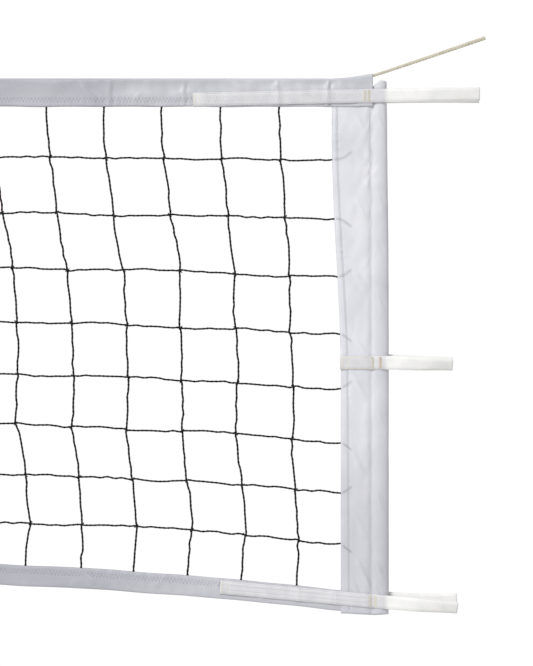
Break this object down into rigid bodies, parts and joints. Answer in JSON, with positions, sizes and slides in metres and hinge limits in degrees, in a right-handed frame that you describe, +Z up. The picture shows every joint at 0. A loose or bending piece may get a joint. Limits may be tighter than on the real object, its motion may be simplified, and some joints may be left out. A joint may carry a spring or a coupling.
{
  "type": "volleyball net",
  "caption": "Full-length volleyball net with white coated bands, black twine mesh, headline rope, dowels in the side bands and webbing ties.",
  "frame": {"origin": "on the headline rope's axis, half way along the net", "axes": "+X along the net, -Y towards the front face, +Z up"},
  "size_m": [10.1108, 0.0647, 1.0634],
  "materials": {
    "coated_band": "satin white PVC-coated polyester",
    "mesh_twine": "black twisted nylon twine",
    "headline_rope": "undyed laid rope",
    "tie_webbing": "white woven polypropylene webbing",
    "dowel_wood": "sanded bare birch"
  },
  "bodies": {
    "net": {"bottom_band": "coated_band", "bottom_selvage": "mesh_twine", "headline_rope": "headline_rope", "headline_tail_left": "headline_rope", "headline_tail_right": "headline_rope", "net_columns_1": "mesh_twine", "net_columns_2": "mesh_twine", "net_columns_3": "mesh_twine", "net_columns_4": "mesh_twine", "net_columns_5": "mesh_twine", "net_columns_6": "mesh_twine", "net_columns_7": "mesh_twine", "net_columns_8": "mesh_twine", "net_row_1": "mesh_twine", "net_row_2": "mesh_twine", "net_row_3": "mesh_twine", "net_row_4": "mesh_twine", "net_row_5": "mesh_twine", "net_row_6": "mesh_twine", "net_row_7": "mesh_twine", "net_row_8": "mesh_twine", "side_band_left": "coated_band", "side_band_right": "coated_band", "side_selvage_left": "mesh_twine", "side_selvage_right": "mesh_twine", "tie_bottom_back_left": "tie_webbing", "tie_bottom_back_right": "tie_webbing", "tie_bottom_front_left": "tie_webbing", "tie_bottom_front_right": "tie_webbing", "tie_middle_back_left": "tie_webbing", "tie_middle_back_right": "tie_webbing", "tie_middle_front_left": "tie_webbing", "tie_middle_front_right": "tie_webbing", "tie_top_back_left": "tie_webbing", "tie_top_back_right": "tie_webbing", "tie_top_front_left": "tie_webbing", "tie_top_front_right": "tie_webbing", "top_band": "coated_band", "top_selvage": "mesh_twine"},
    "dowel_right": {"dowel_right": "dowel_wood"},
    "tie_top_front_tail_right": {"tie_top_front_tail_right": "tie_webbing"},
    "tie_top_back_tail_right": {"tie_top_back_tail_right": "tie_webbing"},
    "tie_middle_front_tail_right": {"tie_middle_front_tail_right": "tie_webbing"},
    "tie_middle_back_tail_right": {"tie_middle_back_tail_right": "tie_webbing"},
    "tie_bottom_front_tail_right": {"tie_bottom_front_tail_right": "tie_webbing"},
    "tie_bottom_back_tail_right": {"tie_bottom_back_tail_right": "tie_webbing"},
    "dowel_left": {"dowel_left": "dowel_wood"},
    "tie_top_front_tail_left": {"tie_top_front_tail_left": "tie_webbing"},
    "tie_top_back_tail_left": {"tie_top_back_tail_left": "tie_webbing"},
    "tie_middle_front_tail_left": {"tie_middle_front_tail_left": "tie_webbing"},
    "tie_middle_back_tail_left": {"tie_middle_back_tail_left": "tie_webbing"},
    "tie_bottom_front_tail_left": {"tie_bottom_front_tail_left": "tie_webbing"},
    "tie_bottom_back_tail_left": {"tie_bottom_back_tail_left": "tie_webbing"}
  },
  "joints": [
    {"name": "dowel_right_slide", "type": "slide", "parent": "net", "child": "dowel_right", "axis": [0, 0, 1], "range_m": [0, 0.99]},
    {"name": "tie_top_front_right_swing", "type": "hinge", "parent": "net", "child": "tie_top_front_tail_right", "pos_m": [4.8848, -0.00445, -0.0278], "axis": [0, 0, -1], "range_deg": [0, 120]},
    {"name": "tie_top_back_right_swing", "type": "hinge", "parent": "net", "child": "tie_top_back_tail_right", "pos_m": [4.8848, 0.01805, -0.0278], "axis": [0, 0, 1], "range_deg": [0, 120]},
    {"name": "tie_middle_front_right_swing", "type": "hinge", "parent": "net", "child": "tie_middle_front_tail_right", "pos_m": [4.8848, -0.00315, -0.5208], "axis": [0, 0, -1], "range_deg": [0, 120]},
    {"name": "tie_middle_back_right_swing", "type": "hinge", "parent": "net", "child": "tie_middle_back_tail_right", "pos_m": [4.8848, 0.01805, -0.5208], "axis": [0, 0, 1], "range_deg": [0, 120]},
    {"name": "tie_bottom_front_right_swing", "type": "hinge", "parent": "net", "child": "tie_bottom_front_tail_right", "pos_m": [4.8848, -0.00315, -0.9653], "axis": [0, 0, -1], "range_deg": [0, 120]},
    {"name": "tie_bottom_back_right_swing", "type": "hinge", "parent": "net", "child": "tie_bottom_back_tail_right", "pos_m": [4.8848, 0.01805, -0.9653], "axis": [0, 0, 1], "range_deg": [0, 120]},
    {"name": "dowel_left_slide", "type": "slide", "parent": "net", "child": "dowel_left", "axis": [0, 0, 1], "range_m": [0, 0.99]},
    {"name": "tie_top_front_left_swing", "type": "hinge", "parent": "net", "child": "tie_top_front_tail_left", "pos_m": [-4.8848, -0.00445, -0.0278], "axis": [0, 0, 1], "range_deg": [0, 120]},
    {"name": "tie_top_back_left_swing", "type": "hinge", "parent": "net", "child": "tie_top_back_tail_left", "pos_m": [-4.8848, 0.01805, -0.0278], "axis": [0, 0, -1], "range_deg": [0, 120]},
    {"name": "tie_middle_front_left_swing", "type": "hinge", "parent": "net", "child": "tie_middle_front_tail_left", "pos_m": [-4.8848, -0.00315, -0.5208], "axis": [0, 0, 1], "range_deg": [0, 120]},
    {"name": "tie_middle_back_left_swing", "type": "hinge", "parent": "net", "child": "tie_middle_back_tail_left", "pos_m": [-4.8848, 0.01805, -0.5208], "axis": [0, 0, -1], "range_deg": [0, 120]},
    {"name": "tie_bottom_front_left_swing", "type": "hinge", "parent": "net", "child": "tie_bottom_front_tail_left", "pos_m": [-4.8848, -0.00315, -0.9653], "axis": [0, 0, 1], "range_deg": [0, 120]},
    {"name": "tie_bottom_back_left_swing", "type": "hinge", "parent": "net", "child": "tie_bottom_back_tail_left", "pos_m": [-4.8848, 0.01805, -0.9653], "axis": [0, 0, -1], "range_deg": [0, 120]}
  ]
}
